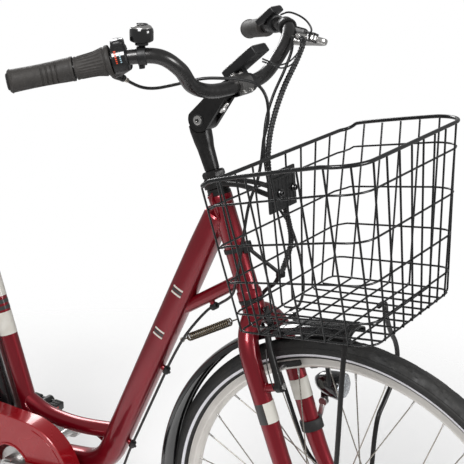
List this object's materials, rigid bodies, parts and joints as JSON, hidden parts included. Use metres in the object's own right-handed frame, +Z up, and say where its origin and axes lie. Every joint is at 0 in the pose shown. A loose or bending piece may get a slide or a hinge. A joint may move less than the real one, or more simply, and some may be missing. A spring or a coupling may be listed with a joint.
{
  "type": "electric bicycle",
  "caption": "Low-step electric bicycle with front hub motor, wire basket, swept handlebar, chain case, rack and centre stand.",
  "frame": {"origin": "centre of the bounding box at ground level, between the tyres' contact points", "axes": "+X to the front of the bicycle, +Y to its left side, +Z up"},
  "size_m": [1.9102, 0.6603, 1.1878],
  "materials": {
    "paint_red": "deep metallic red, glossy",
    "black_metal": "satin black",
    "black_plastic": "matte black",
    "gloss_black": "glossy black",
    "rubber": "grey-brown grip rubber",
    "tyre": "black with a white side stripe",
    "silver": "brushed silver",
    "wheel_silver": "satin silver",
    "steel": "dull steel",
    "spring_steel": "dark bronze steel",
    "saddle": "black synthetic leather",
    "lens_red": "red lens"
  },
  "bodies": {
    "frame": {"frame": "paint_red", "chain_case": "paint_red", "chain": "steel", "rear_mudguard": "black_plastic", "rear_rack": "black_metal", "rear_light": "lens_red", "battery_rail": "black_metal", "rear_axle": "steel", "seat_clamp": "black_metal", "cable_guide": "black_plastic", "gear_cable": "black_plastic", "steering_spring": "spring_steel"},
    "steering": {"fork": "paint_red", "headset_locknut": "black_metal", "basket_bracket": "black_metal", "basket_rim": "black_metal", "basket_front": "black_metal", "basket_back": "black_metal", "basket_left": "black_metal", "basket_right": "black_metal", "basket_floor": "black_metal", "basket_strut_left": "black_metal", "basket_strut_right": "black_metal", "front_mudguard": "black_plastic", "front_axle": "steel", "headlight_bracket": "black_plastic", "stem_post": "black_metal", "wire_bundle": "black_plastic", "brake_cable": "black_plastic"},
    "stem": {"stem_arm": "black_metal", "stem_bolt": "silver", "stem_faceplate": "silver", "handlebar": "black_metal", "grip_left": "rubber", "grip_right": "rubber", "shifter_housing": "black_plastic", "bell": "black_plastic", "brake_perch": "black_metal", "display": "black_plastic", "control_unit": "black_plastic"},
    "twist_grip": {"twist_grip": "rubber"},
    "bell_lever": {"bell_lever": "black_plastic"},
    "brake_lever": {"brake_lever": "silver"},
    "control_button": {"control_button": "black_plastic"},
    "front_wheel": {"front_wheel": "wheel_silver", "front_tyre": "tyre"},
    "rear_wheel": {"rear_wheel": "wheel_silver", "rear_tyre": "tyre"},
    "rear_sprocket": {"rear_sprocket": "steel"},
    "cranks": {"crank_right": "silver", "crank_left": "silver"},
    "pedal_left": {"pedal_left": "black_plastic"},
    "pedal_right": {"pedal_right": "black_plastic"},
    "brake_arm_left": {"front_brake_arm_left": "black_metal"},
    "brake_arm_right": {"front_brake_arm_right": "black_metal"},
    "headlight": {"headlight": "black_plastic"},
    "centre_stand": {"centre_stand": "black_metal"},
    "battery": {"battery": "gloss_black"},
    "seatpost": {"seatpost": "black_metal", "saddle": "saddle"}
  },
  "joints": [
    {"name": "steering", "type": "hinge", "parent": "frame", "child": "steering", "pos_m": [0.38221, 0, 0.79866], "axis": [-0.3551, 0, 0.9348], "range_deg": [-45, 45], "stiffness_Nm_per_rad": 2, "deforming": ["steering_spring", "gear_cable", "brake_cable", "wire_bundle"]},
    {"name": "stem_tilt", "type": "hinge", "parent": "steering", "child": "stem", "pos_m": [0.31535, 0, 1.01266], "axis": [0, 1, 0], "range_deg": [-3, 35], "deforming": ["gear_cable", "brake_cable", "wire_bundle"]},
    {"name": "brake_lever_pull", "type": "hinge", "parent": "stem", "child": "brake_lever", "pos_m": [0.4015, 0.19, 1.125], "axis": [0.1096, 0.3325, 0.9367], "range_deg": [0, 16], "stiffness_Nm_per_rad": 0.8, "springref_deg": -8.59},
    {"name": "twist_shift", "type": "hinge", "parent": "stem", "child": "twist_grip", "pos_m": [0.28577, -0.23036, 1.12923], "axis": [0.7987, 0.5524, 0.2386], "range_deg": [0, 100]},
    {"name": "bell_ring", "type": "hinge", "parent": "stem", "child": "bell_lever", "pos_m": [0.34241, -0.19192, 1.15901], "axis": [0, 0, 1], "range_deg": [0, 25], "stiffness_Nm_per_rad": 0.05, "springref_deg": -17.19},
    {"name": "button_press", "type": "slide", "parent": "stem", "child": "control_button", "axis": [0.6561, 0, -0.7547], "range_m": [0, 0.0015], "stiffness_N_per_m": 300, "springref_m": -0.002},
    {"name": "front_wheel_spin", "type": "hinge", "parent": "steering", "child": "front_wheel", "pos_m": [0.6065, 0, 0.349], "axis": [0, 1, 0], "continuous": true},
    {"name": "rear_wheel_spin", "type": "hinge", "parent": "frame", "child": "rear_wheel", "pos_m": [-0.5835, 0, 0.349], "axis": [0, 1, 0], "continuous": true},
    {"name": "crank_spin", "type": "hinge", "parent": "frame", "child": "cranks", "pos_m": [-0.0735, 0, 0.295], "axis": [0, 1, 0], "continuous": true},
    {"name": "sprocket_spin", "type": "hinge", "parent": "frame", "child": "rear_sprocket", "pos_m": [-0.5835, 0, 0.349], "axis": [0, 1, 0], "continuous": true},
    {"name": "left_pedal_spin", "type": "hinge", "parent": "cranks", "child": "pedal_left", "pos_m": [-0.23796, 0, 0.266], "axis": [0, 1, 0], "continuous": true},
    {"name": "right_pedal_spin", "type": "hinge", "parent": "cranks", "child": "pedal_right", "pos_m": [0.09096, 0, 0.324], "axis": [0, 1, 0], "continuous": true},
    {"name": "left_brake_arm", "type": "hinge", "parent": "steering", "child": "brake_arm_left", "pos_m": [0.50109, 0.0542, 0.61522], "axis": [0.9348, 0, 0.3551], "range_deg": [0, 3], "stiffness_Nm_per_rad": 0.3, "springref_deg": -5.73},
    {"name": "right_brake_arm", "type": "hinge", "parent": "steering", "child": "brake_arm_right", "pos_m": [0.50109, -0.0542, 0.61522], "axis": [-0.9348, 0, -0.3551], "range_deg": [0, 3], "stiffness_Nm_per_rad": 0.3, "springref_deg": -5.73},
    {"name": "lamp_tilt", "type": "hinge", "parent": "steering", "child": "headlight", "pos_m": [0.5075, 0.084, 0.535], "axis": [0, 1, 0], "range_deg": [-12, 12]},
    {"name": "stand_fold", "type": "hinge", "parent": "frame", "child": "centre_stand", "pos_m": [-0.1885, 0, 0.262], "axis": [0, 1, 0], "range_deg": [0, 78]},
    {"name": "battery_slide", "type": "slide", "parent": "frame", "child": "battery", "axis": [-0.3107, 0, 0.9505], "range_m": [0, 0.16]},
    {"name": "seat_height", "type": "slide", "parent": "frame", "child": "seatpost", "axis": [-0.3107, 0, 0.9505], "range_m": [-0.02, 0.08]}
  ],
  "couplings": [
    {"joint": "left_brake_arm", "follows": "brake_lever_pull", "ratio": 0.1875},
    {"joint": "right_brake_arm", "follows": "brake_lever_pull", "ratio": 0.1875},
    {"joint": "sprocket_spin", "follows": "crank_spin", "ratio": 2.2198}
  ]
}
